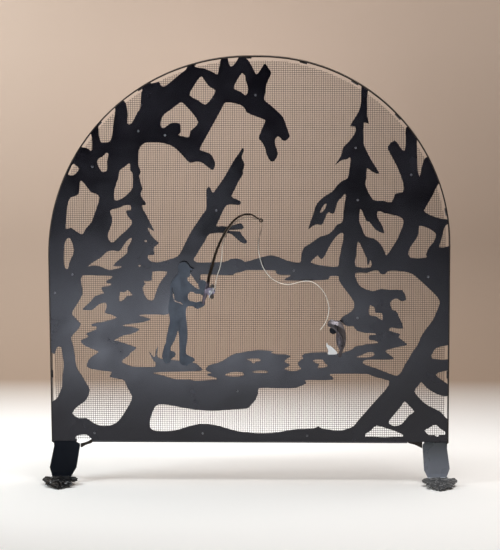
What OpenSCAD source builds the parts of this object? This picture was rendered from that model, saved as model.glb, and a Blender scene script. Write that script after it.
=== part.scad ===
// Arched hearth screen with a cut-steel fishing scene over woven spark mesh.
// Millimetres, +Z up. The origin is on the floor under the middle of the screen,
// with the front face of the scene panel on the plane y = 0 and the room at -Y.

/* [Screen] */
// Width over the arched band
panel_w = 914; // [700:1:1200]
// Gap from the floor to the bottom of the screen
leg_h = 94; // [60:1:160]
// Thickness of the cut scene panel
plate_t = 2.5; // [1.5:0.5:5]

/* [Band] */
// Thickness of the flat bar bent round the arch
band_t = 3; // [2:0.5:6]
// Depth of that flat bar from front to back
band_depth = 25; // [15:1:50]

/* [Spark mesh] */
// Diameter of one mesh wire
wire_d = 0.9; // [0.4:0.1:1.6]
// Pitch of the upright wires
pitch_x = 5; // [3:0.25:12]
// Pitch of the level wires
pitch_z = 4.75; // [3:0.25:12]
// Free edge left between the mesh and the band
mesh_edge = 6; // [2:0.5:20]
// Play between the panel and the mesh behind it
mesh_play = 0.8; // [0.2:0.1:3]

/* [Angler] */
// Distance the angler stands in front of the panel
angler_off = 6; // [3:0.5:15]
// Thickness of the angler plate
angler_t = 2; // [1:0.5:4]
// Radius of the rod at the butt
rod_r = 3.5; // [1.5:0.1:4]
// Radius of the wire that stands for the line
line_r = 0.9; // [0.5:0.1:1.5]

/* [Feet] */
// Thickness of the bent foot straps
strap_t = 3; // [2:0.5:6]
// How far the rear feet reach behind the panel
rear_reach = 78; // [60:1:200]
// Diameter of the foot bolts
bolt_d = 5; // [4:1:8]

/* [View] */
// Piece to draw

/* [Hidden] */

$fn = 64;
s = panel_w / 914;            // the scene grows with the screen
half_w = panel_w / 2;
side_h = 431 * s;             // straight side, left
shoulder = 28 * s;            // extra fullness of the right shoulder
top_z = side_h + half_w;
mesh_y = plate_t + mesh_play; // front of the mesh
mesh_back = mesh_y + 2 * wire_d + 0.1;
angler_y = -angler_off - angler_t;
rod_y = angler_y - rod_r;
grip_r = 1.37;                // share of the butt radius at the cork grip
reel_y = angler_y - 2 * rod_r * grip_r;

// One round of the four-point curve: keeps every corner point and adds a
// point between each pair, so a few points draw a flowing outline.
function flow(p) = let (n = len(p)) [
  for (i = [0 : n - 1]) each [
    p[i] * s,
    (9 * (p[i] + p[(i + 1) % n]) - p[(i + n - 1) % n] - p[(i + 2) % n]) * s / 16
  ]
];

module outline(pts) {
  polygon(flow(pts));
}

// A flat piece drawn in x and z, set up from its front face y0.
module upright(y0, t) {
  translate([0, y0 + t, leg_h])
    rotate([90, 0, 0])
      linear_extrude(height = t) children();
}

// ---- outlines cut out of the scene panel, x from the middle, z from the bottom

// Between the boughs of the big tree at the top left.
crown_gaps = [
  [[-376, 683], [-366, 682], [-357, 676], [-353, 678], [-353, 705], [-358, 717],
   [-374, 718], [-394, 692]],
  [[-337, 712], [-334, 698], [-329, 693], [-315, 695], [-309, 702], [-305, 722],
   [-302, 748], [-299, 768], [-308, 786], [-346, 752], [-338, 733]],
  [[-272, 737], [-264, 736], [-256, 748], [-249, 762], [-243, 770], [-241, 790],
   [-240, 804], [-237, 817], [-246, 836], [-292, 800], [-278, 787], [-273, 775],
   [-271, 755]],
  [[-217, 827], [-200, 831], [-196, 823], [-189, 820], [-180, 825], [-165, 837],
   [-148, 851], [-138, 859], [-136, 876], [-180, 864], [-222, 842]],
  [[-118, 864], [-100, 861], [-78, 852], [-68, 847], [-64, 862], [-61, 878],
   [-60, 894], [-122, 884]],
  [[-44, 882], [-41, 868], [-35, 865], [-28, 872], [-21, 883], [-20, 897], [-46, 897]],
  [[-131, 800], [-124, 816], [-112, 835], [-105, 842], [-101, 840], [-88, 821],
   [-76, 814], [-73, 809], [-79, 797], [-95, 779], [-112, 789]],
  [[-31, 815], [-27, 828], [-17, 845], [-12, 849], [-6, 844], [-4, 832], [1, 815],
   [-1, 805], [-6, 800], [-16, 808]],
  [[-197, 732], [-195, 746], [-188, 758], [-172, 769], [-158, 780], [-149, 784],
   [-140, 777], [-124, 759], [-112, 740], [-120, 728], [-130, 719], [-133, 706],
   [-146, 707], [-157, 711], [-152, 716], [-152, 727], [-154, 737], [-172, 738],
   [-183, 731], [-191, 726]],
  [[-409, 622], [-402, 637], [-396, 645], [-389, 641], [-383, 634], [-392, 622],
   [-400, 619]],
  [[-340, 656], [-329, 662], [-320, 671], [-316, 667], [-319, 650], [-319, 632],
   [-326, 627], [-332, 628], [-341, 644]],
  [[-380, 607], [-372, 601], [-357, 581], [-345, 577], [-338, 569], [-342, 552],
   [-352, 525], [-357, 512], [-371, 496], [-378, 484], [-392, 491], [-404, 499],
   [-416, 497], [-414, 520], [-411, 550], [-404, 568], [-390, 573], [-384, 580],
   [-382, 600]],
  [[-270, 646], [-267, 643], [-267, 630], [-262, 624], [-262, 592], [-270, 580],
   [-281, 570], [-294, 563], [-304, 564], [-303, 588], [-294, 614], [-291, 630],
   [-279, 639]],
  [[-268, 551], [-267, 540], [-277, 539], [-276, 530], [-269, 520], [-264, 510],
   [-278, 493], [-290, 483], [-303, 470], [-312, 465], [-321, 480], [-312, 504],
   [-310, 522], [-314, 538], [-303, 543], [-293, 545], [-283, 550]],
];

// The sky over the far shore, round the dead tree and its forked twig.
open_sky = [
  [-4, 884], [0, 880], [8, 868], [16, 852], [20, 847], [26, 853], [32, 862],
  [39, 871], [47, 860], [53, 850], [48, 838], [42, 824], [40, 808], [37, 793],
  [40, 786], [52, 777], [66, 764], [78, 752], [84, 738], [90, 720], [94, 708],
  [90, 702], [84, 697], [77, 699], [71, 706], [65, 706], [61, 699], [62, 686],
  [66, 674], [67, 666], [61, 654], [55, 650], [49, 653], [42, 666], [38, 682],
  [30, 696], [24, 703], [28, 715], [34, 730], [39, 743], [30, 748], [14, 754],
  [0, 760], [-4, 764], [-8, 772], [-16, 778], [-30, 782], [-50, 784], [-58, 772],
  [-70, 750], [-84, 725], [-98, 700], [-109, 678], [-98, 673], [-86, 668],
  [-79, 659], [-75, 647], [-76, 638], [-80, 631], [-90, 637], [-104, 648],
  [-118, 650], [-132, 648], [-144, 660], [-158, 675], [-172, 686], [-190, 692],
  [-210, 694], [-228, 694], [-240, 688], [-247, 676], [-248, 655], [-248, 640],
  [-243, 627], [-247, 618], [-243, 600], [-240, 588], [-244, 577], [-240, 566],
  [-233, 557], [-234, 551], [-241, 551], [-240, 543], [-232, 529], [-224, 512],
  [-214, 492], [-222, 496], [-229, 500], [-226, 491], [-218, 478], [-209, 469],
  [-204, 465], [-209, 459], [-215, 455], [-216, 446], [-215, 437], [-228, 436],
  [-229, 429], [-222, 422], [-208, 420], [-192, 423], [-176, 428], [-163, 433],
  [-155, 442], [-148, 456], [-140, 472], [-134, 484], [-125, 499], [-114, 515],
  [-104, 530], [-96, 541], [-95, 560], [-95, 585], [-89, 593], [-84, 586],
  [-80, 579], [-72, 589], [-62, 603], [-52, 618], [-42, 636], [-30, 656],
  [-20, 670], [-13, 681], [-9, 677], [-14, 662], [-12, 653], [-8, 643],
  [-12, 630], [-12, 621], [-22, 605], [-30, 588], [-38, 572], [-31, 566],
  [-19, 561], [-17, 556], [-21, 552], [-42, 553], [-51, 549], [-60, 533],
  [-67, 517], [-73, 503], [-60, 503], [-47, 502], [-36, 505], [-25, 508],
  [-17, 510], [-11, 501], [-16, 496], [-42, 495], [-42, 492], [-20, 491],
  [-16, 484], [-3, 468], [-8, 463], [-20, 468], [-38, 484], [-50, 487],
  [-88, 486], [-98, 470], [-108, 455], [-118, 438], [-125, 427], [-118, 420],
  [-90, 420], [-55, 421], [-42, 427], [-28, 429], [-13, 425], [-9, 421],
  [4, 424], [20, 429], [38, 434], [52, 436], [66, 433], [85, 425], [100, 421],
  [117, 420], [119, 430], [122, 446], [127, 455], [140, 463], [155, 474],
  [165, 480], [180, 484], [192, 494], [200, 506], [212, 512], [215, 530],
  [218, 558], [221, 571], [218, 577], [211, 568], [204, 562], [199, 550],
  [196, 537], [190, 531], [183, 535], [177, 530], [170, 512], [165, 506],
  [156, 507], [148, 505], [140, 499], [136, 497], [140, 512], [146, 528],
  [152, 548], [160, 560], [172, 571], [190, 582], [200, 595], [212, 606],
  [225, 613], [228, 632], [231, 650], [230, 660], [222, 655], [210, 653],
  [196, 642], [205, 656], [211, 668], [214, 682], [226, 694], [236, 707],
  [242, 718], [241, 729], [230, 730], [238, 745], [250, 765], [254, 785],
  [254, 805], [255, 822], [256, 846], [180, 888], [80, 908], [-4, 908]
];

// The water between the far shore and the near bank, behind the angler.
open_water = [
  [-184, 300], [-180, 325], [-172, 348], [-160, 372], [-146, 390], [-136, 396],
  [-130, 390], [-124, 381], [-117, 371], [-112, 371], [-110, 380], [-110, 391],
  [-97, 392], [-60, 391], [-36, 391], [-30, 396], [-20, 397], [-11, 400],
  [-4, 402], [20, 402], [45, 402], [62, 401], [62, 396], [68, 392], [80, 391],
  [95, 391], [92, 387], [84, 383], [82, 379], [100, 378], [130, 378], [160, 379],
  [181, 381], [184, 388], [195, 389], [204, 388], [205, 381], [209, 372],
  [217, 361], [226, 349], [234, 338], [240, 327], [240, 318], [236, 310],
  [228, 303], [219, 298], [213, 294], [209, 288], [204, 284], [212, 282],
  [219, 275], [228, 273], [238, 273], [243, 266], [250, 261], [264, 258],
  [276, 257], [288, 256], [288, 253], [276, 252], [273, 247], [276, 241],
  [286, 240], [295, 235], [285, 232], [266, 231], [258, 228], [243, 226],
  [236, 219], [225, 215], [214, 211], [205, 209], [190, 207], [179, 208],
  [178, 212], [160, 212], [140, 211], [126, 208], [121, 203], [124, 198],
  [118, 194], [112, 188], [113, 181], [119, 174], [112, 170], [100, 168],
  [88, 170], [81, 172], [86, 177], [94, 182], [86, 187], [81, 190], [85, 196],
  [92, 200], [94, 203], [84, 207], [70, 207], [58, 208], [50, 211], [56, 214],
  [40, 216], [20, 217], [0, 214], [-12, 212], [-28, 209], [-38, 206],
  [-48, 200], [-57, 194], [-64, 190], [-78, 185], [-90, 182], [-97, 177],
  [-99, 170], [-93, 166], [-86, 163], [-97, 160], [-92, 156], [-82, 154],
  [-75, 151], [-76, 148], [-100, 146], [-125, 145], [-140, 148], [-165, 148],
  [-180, 151], [-195, 156], [-210, 160], [-222, 162], [-205, 165], [-160, 166],
  [-112, 168], [-108, 173], [-113, 178], [-120, 184], [-128, 187], [-138, 190],
  [-160, 192], [-185, 194], [-204, 197], [-211, 202], [-211, 212], [-208, 224],
  [-213, 218], [-215, 205], [-219, 200], [-229, 213], [-225, 202], [-218, 190],
  [-214, 186], [-216, 178], [-225, 177], [-250, 177], [-268, 178], [-282, 183],
  [-292, 188], [-288, 195], [-275, 204], [-272, 210], [-258, 221], [-268, 226],
  [-285, 232], [-300, 237], [-309, 239], [-300, 244], [-288, 250], [-270, 254],
  [-258, 259], [-251, 265], [-262, 269], [-275, 271], [-290, 273], [-275, 277],
  [-255, 279], [-240, 282], [-225, 288], [-238, 293], [-252, 297], [-235, 299],
  [-208, 299]
];

// Left bank: the long gap between the reflections, and the small ones near it.
left_gaps = [
  [[-409, 477], [-402, 466], [-398, 448], [-401, 436], [-407, 424], [-412, 406],
   [-416, 404], [-421, 414], [-421, 445], [-418, 466]],
  [[-266, 477], [-268, 466], [-276, 453], [-277, 441], [-293, 428], [-309, 412],
   [-291, 411], [-291, 408], [-306, 404], [-320, 402], [-340, 411], [-358, 412],
   [-367, 410], [-356, 419], [-335, 432], [-323, 444], [-308, 447], [-296, 445],
   [-288, 453], [-278, 468]],
  [[-380, 389], [-345, 389], [-312, 388], [-315, 382], [-325, 377], [-323, 372],
   [-313, 370], [-320, 365], [-335, 363], [-336, 357], [-331, 349], [-338, 346],
   [-352, 341], [-362, 329], [-373, 319], [-380, 311], [-370, 309], [-358, 310],
   [-345, 321], [-334, 326], [-326, 325], [-326, 314], [-329, 303], [-318, 300],
   [-302, 292], [-316, 287], [-334, 282], [-360, 277], [-358, 272], [-349, 271],
   [-351, 264], [-366, 258], [-374, 253], [-367, 248], [-379, 242], [-386, 237],
   [-376, 226], [-352, 216], [-346, 211], [-362, 200], [-370, 190], [-373, 178],
   [-364, 173], [-345, 169], [-316, 165], [-321, 154], [-300, 149], [-287, 145],
   [-281, 130], [-270, 108], [-275, 91], [-285, 74], [-297, 56], [-308, 45],
   [-322, 39], [-342, 38], [-360, 45], [-376, 56], [-394, 56], [-408, 67],
   [-398, 82], [-384, 92], [-374, 102], [-367, 122], [-374, 137], [-385, 157],
   [-396, 175], [-400, 200], [-403, 225], [-408, 245], [-396, 260], [-385, 277],
   [-405, 299], [-396, 318], [-380, 346], [-382, 368]],
  [[-294, 351], [-285, 350], [-276, 356], [-270, 349], [-266, 344], [-280, 341],
   [-285, 334], [-296, 330]],
  [[-239, 377], [-236, 370], [-242, 362], [-239, 347], [-231, 334], [-219, 332],
   [-213, 347], [-206, 366], [-196, 382], [-186, 398], [-219, 398], [-221, 378]],
  [[-441, 222], [-431, 222], [-428, 200], [-426, 180], [-430, 150], [-431, 130],
   [-438, 113], [-446, 100], [-462, 104], [-462, 206], [-447, 206]],
  [[-402, 9], [-398, 15], [-388, 17], [-375, 17], [-368, 10], [-363, 5], [-361, -8],
   [-397, -8], [-399, 3]],
];

// Right side: round the spruce and the tree at the edge.
right_gaps = [
  [[141, 420], [150, 430], [157, 436], [164, 428], [172, 434], [183, 456],
   [196, 476], [208, 487], [216, 484], [212, 460], [206, 430], [203, 411],
   [180, 411], [160, 414]],
  [[162, 536], [171, 552], [177, 554], [174, 544], [167, 535]],
  [[253, 543], [260, 531], [267, 515], [274, 513], [288, 495], [305, 487],
   [307, 492], [301, 508], [292, 523], [293, 538], [308, 533], [335, 527],
   [348, 521], [351, 510], [343, 488], [337, 473], [326, 455], [313, 436],
   [309, 444], [300, 461], [284, 475], [265, 480], [256, 502], [251, 515]],
  [[248, 468], [257, 454], [263, 440], [268, 430], [269, 416], [273, 416],
   [275, 425], [278, 422], [276, 408], [243, 411], [244, 435]],
  [[270, 815], [268, 770], [268, 752], [272, 735], [260, 738], [260, 700],
   [262, 685], [278, 653], [296, 623], [280, 627], [268, 635], [267, 612],
   [264, 598], [281, 564], [304, 561], [324, 558], [332, 577], [349, 581],
   [350, 600], [336, 638], [320, 668], [315, 684], [330, 698], [342, 683],
   [352, 674], [355, 700], [355, 727], [376, 748], [290, 846]],
  [[380, 700], [381, 660], [382, 632], [386, 616], [390, 632], [395, 652],
   [402, 660], [424, 668], [396, 722]],
  [[428, 598], [417, 575], [400, 545], [399, 535], [425, 523], [447, 519],
   [470, 520], [450, 608]],
  [[386, 500], [388, 504], [404, 500], [416, 493], [424, 485], [420, 468],
   [409, 455], [402, 438], [402, 431], [367, 431], [363, 447], [373, 465],
   [383, 480]],
  [[447, 506], [441, 492], [436, 470], [432, 455], [452, 457], [468, 470],
   [464, 508]],
  [[243, 396], [268, 396], [282, 401], [295, 401], [299, 394], [310, 393],
   [316, 400], [335, 401], [363, 397], [378, 389], [400, 369], [416, 354],
   [429, 340], [434, 326], [426, 304], [418, 286], [403, 266], [392, 248],
   [385, 230], [374, 215], [366, 200], [356, 184], [348, 167], [338, 158],
   [320, 163], [290, 175], [264, 184], [260, 191], [270, 195], [300, 196],
   [330, 197], [322, 206], [311, 215], [325, 221], [345, 226], [361, 231],
   [341, 247], [345, 254], [328, 260], [319, 264], [325, 270], [352, 268],
   [342, 294], [336, 307], [326, 312], [322, 327], [330, 336], [340, 336],
   [346, 331], [358, 335], [349, 356], [322, 357], [300, 359], [285, 354],
   [270, 357], [254, 365], [245, 380]],
  [[275, 320], [280, 320], [287, 315], [288, 304], [303, 303], [304, 287],
   [290, 296], [274, 299]],
  [[245, 201], [258, 206], [270, 212], [284, 212], [285, 204], [265, 200]],
  [[418, 198], [421, 215], [428, 223], [447, 228], [466, 228], [466, 198]],
  [[427, 161], [440, 168], [466, 168], [466, 134], [449, 142], [434, 153]],
];

// Near bank: the long low gap, the roots at the right and slots in the water.
near_gaps = [
  [[-229, 50], [-226, 62], [-218, 82], [-208, 89], [-185, 88], [-160, 83],
   [-130, 78], [-100, 75], [-70, 75], [-40, 78], [-6, 80], [4, 89], [15, 102],
   [20, 117], [23, 128], [60, 128], [97, 128], [112, 131], [131, 140],
   [128, 147], [160, 147], [190, 148], [192, 154], [185, 161], [225, 163],
   [270, 162], [285, 156], [315, 148], [321, 143], [315, 129], [300, 111],
   [285, 94], [268, 74], [250, 53], [240, 40], [225, 33], [205, 28], [185, 31],
   [168, 33], [158, 38], [145, 33], [110, 32], [85, 28], [55, 23], [20, 22],
   [-8, 24], [-30, 27], [-55, 34], [-80, 41], [-115, 43], [-145, 36],
   [-170, 28], [-200, 26], [-222, 28], [-229, 36]],
  [[-56, 158], [-42, 165], [-16, 165], [-14, 157], [-36, 155]],
  [[-8, 196], [22, 197], [26, 192], [14, 189], [10, 185], [3, 192]],
  [[7, 167], [24, 169], [41, 168], [40, 164], [14, 164]],
  [[146, 192], [152, 195], [168, 195], [173, 187], [180, 181], [172, 177],
   [157, 175], [160, 184], [153, 187]],
  [[394, 143], [406, 130], [430, 115], [450, 110], [466, 110], [466, 54],
   [450, 60], [438, 74], [410, 88], [394, 101], [378, 121], [387, 135]],
  [[356, 98], [366, 88], [378, 74], [366, 65], [350, 45], [335, 40], [324, 43],
   [320, 51], [332, 67], [348, 87]],
  [[266, 15], [280, 30], [292, 41], [320, 33], [340, 26], [352, 15]],
  [[402, 30], [412, 36], [421, 42], [430, 42], [438, 34], [448, 28], [448, 20],
   [436, 19], [431, 14], [425, 19], [412, 19]],
];

// Rivets that hold the mesh, near these places, moved to the nearest mesh cell.
rivet_near = [[249, 293], [247, 562], [405, 385], [-402, 392], [-444, 348],
  [-358, 21], [-110, 20], [130, 16], [18, 800], [-190, 712], [-355, 640],
  [368, 620], [100, 400], [-75, 540], [-250, 720], [240, 680], [-30, 120]];
function cell(v, p) = (floor(v / p) + 0.5) * p;
rivets = [for (r = rivet_near) [cell(r[0] * s, pitch_x), cell(r[1] * s, pitch_z)]];

angler_outline = [
  [-151, 420], [-143, 420], [-137, 414], [-132, 407], [-124, 403], [-132.5, 402],
  [-133.5, 398], [-130.5, 395], [-133.5, 392.5], [-133, 388], [-139, 385],
  [-140, 379], [-132, 371], [-122, 362],
  [-113, 358], [-114, 364], [-115, 373], [-110, 379], [-101, 378], [-95, 370],
  [-95, 358], [-97, 347], [-104, 343], [-112, 347], [-120, 347], [-126, 351],
  [-133, 352], [-138, 346], [-139, 338], [-135, 331], [-128, 330], [-120, 327],
  [-112, 330], [-104, 328], [-100, 323], [-106, 317], [-113, 314], [-118, 312],
  [-124, 316], [-132, 319], [-140, 318], [-143, 312], [-144, 300], [-142, 280],
  [-141, 262], [-141, 245], [-143, 228], [-145, 212], [-141, 205], [-132, 201],
  [-126, 197], [-126, 191], [-134, 186], [-146, 181], [-157, 184], [-160, 196],
  [-159, 215], [-160, 240], [-162, 262], [-167, 248], [-172, 236], [-179, 224],
  [-180, 216], [-172, 213], [-168, 208], [-170, 202], [-178, 196], [-182, 187],
  [-194, 187], [-199, 202], [-196, 220], [-190, 236], [-188, 252], [-184, 268],
  [-181, 285], [-183, 302], [-184, 314], [-181, 331], [-179, 348], [-180, 361],
  [-176, 373], [-170, 383], [-162, 392], [-160, 399], [-161, 409], [-158, 416]
];
angler_pin_at = [[-150, 405], [-189, 189], [-143, 184]];

// Rod from butt to tip: x, z and radius as a share of the butt radius.
rod_route = [
  [-103.5, 326, 1], [-102, 336, 1.05], [-98.5, 346, grip_r], [-95.5, 358, grip_r],
  [-93, 370, 1.25], [-90.5, 384, 1],
  [-87, 399, 0.94], [-82, 415, 0.92], [-78, 431, 0.9], [-73, 447, 0.87],
  [-66, 464, 0.84], [-58, 481, 0.8], [-50, 495, 0.77], [-41, 508, 0.73],
  [-31, 519, 0.7], [-20, 527, 0.66], [-9, 531, 0.62], [1, 532, 0.6],
  [10, 530, 0.56], [18, 525, 0.53], [24, 521, 0.5]
];

// Line from the reel up to the rod, out through the tip ring and to the fish.
line_route = [
  [-75.8, 358, -22.3], [-74.6, 374, -19], [-71, 392, -17],
  [-66, 406, -16], [-62, 422, -15.5], [-60, 442, -15.2], [-58, 462, -15],
  [-53, 483, -15], [-44, 499, -14.6], [-33, 511, -14], [-20, 520, -13.6],
  [-6, 525, -13], [6, 525, -12.5], [18, 521, -12], [29, 518.5, -11],
  [31, 505, -10.5], [27, 487, -10], [23, 469, -10], [23, 452, -10],
  [25, 436, -10], [30, 418, -10], [37, 403, -10], [48, 389, -10],
  [61, 379, -10], [75, 373, -10], [89, 371, -10], [103, 373, -10],
  [117, 377, -10], [131, 379, -10], [144, 377, -10], [155, 371, -10],
  [165, 361, -10], [174, 348, -10], [180, 332, -10], [182.5, 315, -10],
  [180.5, 299, -10.4], [177.5, 290, -10.6], [173, 281, -10.8], [168, 273, -11],
  [162.5, 266, -11]
];

fish_outline = [
  [179, 276], [180, 283], [183, 288], [190, 291], [200, 287], [206, 289],
  [213, 283], [216, 274], [220, 263], [222, 249], [221, 236], [218, 226],
  [214, 218], [212, 210], [210, 204], [203, 204], [205, 213], [207, 220],
  [203, 227], [199, 238], [198, 250], [199, 260], [195, 268], [187, 272]
];
fin_outline = [[184, 262], [184, 268], [188, 271], [194, 267], [199, 261], [197, 257],
  [191, 256], [187, 258]];
// Tail fin, from the middle of its stalk.
tail_outline = [
  [1.5, 0], [11, -0.6], [20, 0], [23, 2.4], [21.5, 6], [18, 10], [13, 14.6],
  [7, 19.4], [2, 21.8], [-0.6, 27], [-1.6, 23], [-1.8, 18], [1.4, 12.6], [2.4, 6.5]
];

// The arch: a half circle whose right shoulder is a little fuller than the left.
module arch(inset, drop) {
  r = half_w - inset;
  intersection() {
    union() {
      translate([0, side_h]) circle(r = r, $fn = 180);
      translate([shoulder, side_h + shoulder]) circle(r = r - shoulder, $fn = 180);
      translate([-r, -drop]) square([2 * r, side_h + drop]);
      translate([0, side_h - 1]) square([r, shoulder + 1]);
      translate([0, side_h]) square([shoulder, r]);
    }
    translate([-r, -drop]) square([2 * r, top_z + drop]);
  }
}

module scene_panel() {
  color("#26272b")
    upright(0, plate_t)
      difference() {
        intersection() {
          arch(band_t, 0);
          translate([-half_w, strap_t]) square([panel_w, top_z]);
        }
        for (g = concat(crown_gaps, left_gaps, right_gaps, near_gaps)) outline(g);
        outline(open_sky);
        outline(open_water);
        translate([-234, 469] * s) circle(r = 2.6, $fn = 24);
        translate([-249, 412] * s) circle(r = 2.4, $fn = 24);
        for (p = rivets) translate(p) circle(r = 1.7, $fn = 24);
      }
}

module arch_band() {
  color("#2b2723")
    upright(0, band_depth)
      difference() {
        arch(0, 0);
        arch(band_t, 10);
      }
}

// Flat bar under the panel between the two corner braces.
module bottom_bar() {
  color("#2b2723")
    translate([-362.5 * s, 0, leg_h]) cube([725 * s, 20, strap_t]);
}

// Height of the mesh edge over any x, and its half width at any height.
function mesh_top(x) = let (r = half_w - band_t - mesh_edge)
  x < 0 ? side_h + sqrt(r * r - x * x)
  : x < shoulder ? side_h + r
  : side_h + shoulder + sqrt(pow(r - shoulder, 2) - pow(x - shoulder, 2));
function mesh_left(z) = let (r = half_w - band_t - mesh_edge)
  z < side_h ? r : sqrt(max(0, r * r - pow(z - side_h, 2)));
function mesh_right(z) = let (r = half_w - band_t - mesh_edge, k = z - side_h - shoulder)
  k < 0 ? r : shoulder + sqrt(max(0, pow(r - shoulder, 2) - k * k));

module spark_mesh() {
  nx = floor((half_w - band_t - mesh_edge - 1) / pitch_x);
  nz = floor((top_z - band_t - mesh_edge - 6) / pitch_z);
  color("#3a2f28")
    translate([0, mesh_y + wire_d / 2, leg_h]) {
      for (i = [-nx : nx])
        translate([i * pitch_x, 0, strap_t + 2])
          cylinder(h = mesh_top(i * pitch_x) - strap_t - 2, d = wire_d, $fn = 16);
      for (k = [2 : nz])
        translate([-mesh_left(k * pitch_z), wire_d + 0.05, k * pitch_z])
          rotate([0, 90, 0])
            cylinder(h = mesh_left(k * pitch_z) + mesh_right(k * pitch_z), d = wire_d, $fn = 16);
    }
}

module mesh_rivets() {
  color("#4a4a4c")
    for (p = rivets)
      translate([p[0], 0, leg_h + p[1]])
        rotate([-90, 0, 0])
          rotate_extrude($fn = 24)
            polygon([[0, -1.5], [1.3, -1.35], [2.2, -0.8], [2.7, 0], [1.6, 0],
              [1.6, mesh_back + 1], [2.4, mesh_back + 1], [2.2, mesh_back + 2.6],
              [0, mesh_back + 2.8]]);
}

module mesh_washers() {
  color("#6a6a6c")
    for (p = rivets)
      translate([p[0], mesh_back, leg_h + p[1]])
        rotate([-90, 0, 0])
          difference() {
            cylinder(h = 1, r = 7, $fn = 32);
            translate([0, 0, -1]) cylinder(h = 3, r = 1.7, $fn = 24);
          }
}

// Cut lines in the angler: the back of the sleeve and the hem of the jacket.
sleeve_cut = [[-175, 360], [-173.4, 361], [-171.6, 348], [-169.6, 336], [-171.4, 335],
  [-173.6, 347]];
jacket_cut = [[-170, 333], [-164, 329.6], [-157, 328], [-151, 323.5], [-152, 322],
  [-158, 326], [-165, 327.6], [-171, 331.4]];

module angler() {
  color("#3c3f45")
    upright(angler_y, angler_t)
      translate([0.5, 1.5])
        difference() {
          outline(angler_outline);
          outline(sleeve_cut);
          outline(jacket_cut);
        }
}

module angler_pins() {
  color("#3c3f45")
    for (p = angler_pin_at)
      translate([p[0] * s, -angler_off, leg_h + p[1] * s])
        rotate([-90, 0, 0])
          cylinder(h = angler_off, r = 3, $fn = 24);
}

// A round wire through hand-set points [x, y, z, radius], made of straight rings.
function way(p, i) = let (n = len(p), a = max(i - 1, 0), b = min(i + 1, n - 1))
  let (d = [for (k = [0 : 2]) p[b][k] - p[a][k]]) d / norm(d);
module wire(p, sides) {
  n = len(p);
  ring = [for (i = [0 : n - 1])
    let (t = way(p, i), u = cross(t, [0, 1, 0]) / norm(cross(t, [0, 1, 0])),
         v = cross(t, u), c = [p[i][0], p[i][1], p[i][2]])
    [for (k = [0 : sides - 1])
      c + p[i][3] * (cos(360 * k / sides) * u + sin(360 * k / sides) * v)]];
  pts = [for (r = ring) each r];
  skin = [for (i = [0 : n - 2]) for (k = [0 : sides - 1])
    [i * sides + k, i * sides + (k + 1) % sides,
     (i + 1) * sides + (k + 1) % sides, (i + 1) * sides + k]];
  caps = [[for (k = [0 : sides - 1]) sides - 1 - k],
          [for (k = [0 : sides - 1]) (n - 1) * sides + k]];
  polyhedron(points = pts, faces = concat(skin, caps), convexity = 6);
}
// Points added half way along an open route, on the same four-point curve.
function thread(p) = let (n = len(p)) [
  for (i = [0 : n - 1]) each (i == n - 1 ? [p[i]] : [
    p[i],
    (9 * (p[i] + p[i + 1]) - p[max(i - 1, 0)] - p[min(i + 2, n - 1)]) / 16
  ])
];

module rod() {
  route = thread([for (q = rod_route)
    [q[0] * s, angler_y - rod_r * max(1, q[2]), leg_h + q[1] * s, rod_r * q[2]]]);
  color("#4a4038") wire(route, 12);
}

// Rings that carry the line: one beside the rod and one at its tip.
module rod_guides() {
  color("#6d6558") {
    translate([29 * s, rod_y, leg_h + 518 * s])
      rotate([90, 0, 0])
        rotate_extrude($fn = 32) translate([3.6, 0]) circle(r = 1.3, $fn = 16);
    translate([-52 * s, rod_y - 3.4, leg_h + 483 * s])
      rotate([90, 0, 0])
        rotate_extrude($fn = 32) translate([2.6, 0]) circle(r = 0.8, $fn = 16);
  }
}

reel_x = -86 * s;
reel_z = leg_h + 356.5 * s;
module reel_frame() {
  color("#55534f")
    translate([reel_x, reel_y, reel_z])
      rotate([90, 0, 0]) {
        cylinder(h = 2, r = 10);
        translate([-13, -5, 0]) cube([6, 10, 2]);
      }
}

module reel_spool() {
  color("#8d8778")
    translate([reel_x, reel_y - 2, reel_z])
      rotate([90, 0, 0])
        rotate_extrude()
          polygon([[0, 0], [9, 0], [9, 1], [7, 1.8], [7, 3.6], [9, 4.4], [9, 5.4], [0, 5.4]]);
}

// Crank arm, bent like a long Z, with a knob at each end.
crank_outline = [
  [3, 15.5], [6.4, 15], [8.8, 7], [1.4, -9.4], [5.6, -9.4], [5.6, -13], [-3.8, -14],
  [-3.6, -11], [4.6, 7], [3, 12]
];
module reel_handle() {
  color("#55534f")
    translate([reel_x, reel_y - 7.4, reel_z])
      rotate([90, 0, 0]) {
        cylinder(h = 1.6, r = 3.5);
        linear_extrude(height = 1.6) polygon(crank_outline);
      }
}

module reel_knobs() {
  color("#332f2b")
    for (k = [[4.5, 13.5], [3.5, -11]])
      translate([reel_x + k[0], reel_y - 9, reel_z + k[1]])
        rotate([90, 0, 0])
          rotate_extrude($fn = 40)
            polygon([[0, 0], [3, 0], [4.7, 1.6], [4.7, 4.2], [3.4, 5.4], [0, 5.8]]);
}

module fishing_line() {
  route = thread([for (q = line_route)
    [q[0] * s, q[2], leg_h + q[1] * s, line_r]]);
  color("#cbbfa2") wire(route, 8);
}

fish_y = -8;
fish_bow = 45;
// The fish is bowed across its back, so that its middle stands out.
module fish_body() {
  color("#8f8a88")
    intersection() {
      upright(-24, 20) outline(fish_outline);
      translate([201 * s, fish_y - 6 + fish_bow, leg_h + 190 * s])
        difference() {
          cylinder(h = 110 * s, r = fish_bow, $fn = 120);
          translate([0, 0, -1]) cylinder(h = 110 * s + 2, r = fish_bow - 1.8, $fn = 120);
        }
    }
}

module fish_fin() {
  color("#3a3735") upright(-7.6, 1.5) outline(fin_outline);
}

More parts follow.
